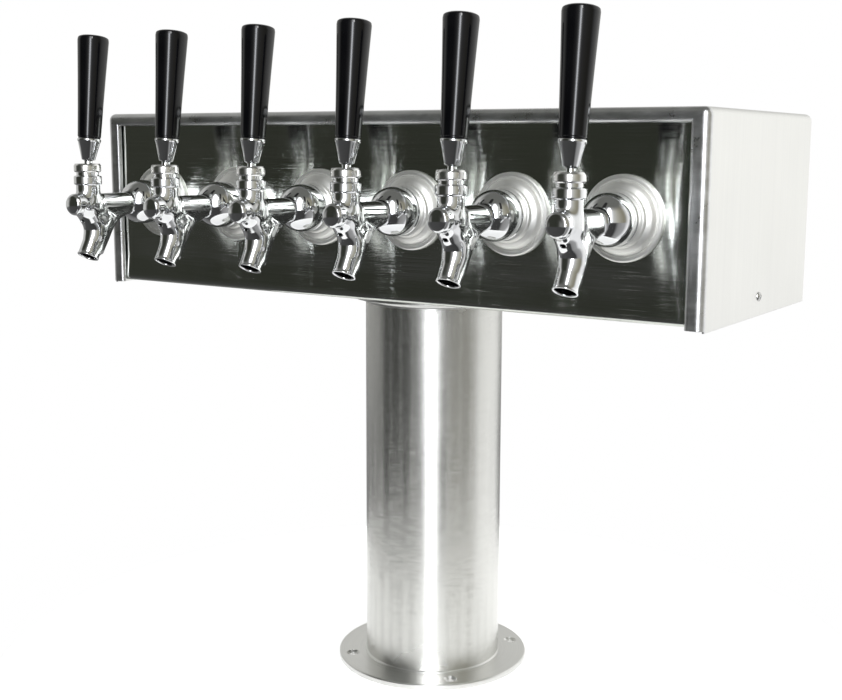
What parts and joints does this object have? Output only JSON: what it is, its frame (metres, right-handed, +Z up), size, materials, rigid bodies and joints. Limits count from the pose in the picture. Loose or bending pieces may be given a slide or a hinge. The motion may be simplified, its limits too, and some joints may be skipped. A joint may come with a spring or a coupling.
{
  "type": "beer tap tower",
  "caption": "T-shaped draft beer tower: a round column on a screwed base flange carries a long sheet-metal box with a row of lever-operated faucets on its polished front panel.",
  "frame": {"origin": "centre of the base flange's underside, at the middle of its four screw holes", "axes": "+Z up the column, +X along the box, the faucets face -Y"},
  "size_m": [0.4904, 0.2842, 0.465],
  "materials": {
    "column_steel": "satin, brushed along the column",
    "flange_steel": "satin turned",
    "cover_steel": "satin brushed sheet, folded lips polished",
    "polished_panel": "mirror polished sheet with faint polishing lines",
    "satin_flange": "satin, turned rings",
    "chrome": "polished chrome plate",
    "steel_hardware": "plain machined stainless",
    "black_handle": "gloss black, moulded",
    "rubber": "matt black rubber",
    "nylon": "matt black nylon",
    "clear_hose": "clear vinyl hose"
  },
  "bodies": {
    "tower": {"column_tube": "column_steel", "base_flange": "flange_steel", "column_top_flange": "flange_steel", "column_nuts": "steel_hardware", "box_chassis": "polished_panel", "box_cover": "cover_steel", "cover_screws": "steel_hardware", "clinch_nuts": "steel_hardware", "shank_flanges": "satin_flange", "shanks": "chrome", "shank_washers": "rubber", "shank_lock_nuts": "steel_hardware", "coupling_nuts": "chrome", "coupling_gaskets": "rubber", "tail_washers": "rubber", "tailpieces": "steel_hardware", "beer_nuts": "chrome", "hose_clamps": "steel_hardware", "beer_lines": "clear_hose", "bonnets": "chrome", "ball_washers": "nylon", "friction_washers": "nylon", "faucet_body_1": "chrome", "faucet_body_2": "chrome", "faucet_body_3": "chrome", "faucet_body_4": "chrome", "faucet_body_5": "chrome", "faucet_body_6": "chrome"},
    "tap_lever_1": {"lever_1": "chrome", "ferrule_1": "chrome", "handle_1": "black_handle"},
    "valve_shaft_1": {"shaft_1": "steel_hardware", "shaft_seat_1": "rubber"},
    "tap_lever_2": {"lever_2": "chrome", "ferrule_2": "chrome", "handle_2": "black_handle"},
    "valve_shaft_2": {"shaft_2": "steel_hardware", "shaft_seat_2": "rubber"},
    "tap_lever_3": {"lever_3": "chrome", "ferrule_3": "chrome", "handle_3": "black_handle"},
    "valve_shaft_3": {"shaft_3": "steel_hardware", "shaft_seat_3": "rubber"},
    "tap_lever_4": {"lever_4": "chrome", "ferrule_4": "chrome", "handle_4": "black_handle"},
    "valve_shaft_4": {"shaft_4": "steel_hardware", "shaft_seat_4": "rubber"},
    "tap_lever_5": {"lever_5": "chrome", "ferrule_5": "chrome", "handle_5": "black_handle"},
    "valve_shaft_5": {"shaft_5": "steel_hardware", "shaft_seat_5": "rubber"},
    "tap_lever_6": {"lever_6": "chrome", "ferrule_6": "chrome", "handle_6": "black_handle"},
    "valve_shaft_6": {"shaft_6": "steel_hardware", "shaft_seat_6": "rubber"}
  },
  "joints": [
    {"name": "tap_1_swing", "type": "hinge", "parent": "tower", "child": "tap_lever_1", "pos_m": [-0.1905, -0.1588, 0.366], "axis": [1, 0, 0], "range_deg": [0, 28]},
    {"name": "valve_1_slide", "type": "slide", "parent": "tower", "child": "valve_shaft_1", "axis": [0, 1, 0], "range_m": [0, 0.0094]},
    {"name": "tap_2_swing", "type": "hinge", "parent": "tower", "child": "tap_lever_2", "pos_m": [-0.1143, -0.1588, 0.366], "axis": [1, 0, 0], "range_deg": [0, 28]},
    {"name": "valve_2_slide", "type": "slide", "parent": "tower", "child": "valve_shaft_2", "axis": [0, 1, 0], "range_m": [0, 0.0094]},
    {"name": "tap_3_swing", "type": "hinge", "parent": "tower", "child": "tap_lever_3", "pos_m": [-0.0381, -0.1588, 0.366], "axis": [1, 0, 0], "range_deg": [0, 28]},
    {"name": "valve_3_slide", "type": "slide", "parent": "tower", "child": "valve_shaft_3", "axis": [0, 1, 0], "range_m": [0, 0.0094]},
    {"name": "tap_4_swing", "type": "hinge", "parent": "tower", "child": "tap_lever_4", "pos_m": [0.0381, -0.1588, 0.366], "axis": [1, 0, 0], "range_deg": [0, 28]},
    {"name": "valve_4_slide", "type": "slide", "parent": "tower", "child": "valve_shaft_4", "axis": [0, 1, 0], "range_m": [0, 0.0094]},
    {"name": "tap_5_swing", "type": "hinge", "parent": "tower", "child": "tap_lever_5", "pos_m": [0.1143, -0.1588, 0.366], "axis": [1, 0, 0], "range_deg": [0, 28]},
    {"name": "valve_5_slide", "type": "slide", "parent": "tower", "child": "valve_shaft_5", "axis": [0, 1, 0], "range_m": [0, 0.0094]},
    {"name": "tap_6_swing", "type": "hinge", "parent": "tower", "child": "tap_lever_6", "pos_m": [0.1905, -0.1588, 0.366], "axis": [1, 0, 0], "range_deg": [0, 28]},
    {"name": "valve_6_slide", "type": "slide", "parent": "tower", "child": "valve_shaft_6", "axis": [0, 1, 0], "range_m": [0, 0.0094]}
  ],
  "couplings": [
    {"joint": "valve_1_slide", "follows": "tap_1_swing", "m_per_rad": 0.01911},
    {"joint": "valve_2_slide", "follows": "tap_2_swing", "m_per_rad": 0.01911},
    {"joint": "valve_3_slide", "follows": "tap_3_swing", "m_per_rad": 0.01911},
    {"joint": "valve_4_slide", "follows": "tap_4_swing", "m_per_rad": 0.01911},
    {"joint": "valve_5_slide", "follows": "tap_5_swing", "m_per_rad": 0.01911},
    {"joint": "valve_6_slide", "follows": "tap_6_swing", "m_per_rad": 0.01911}
  ]
}
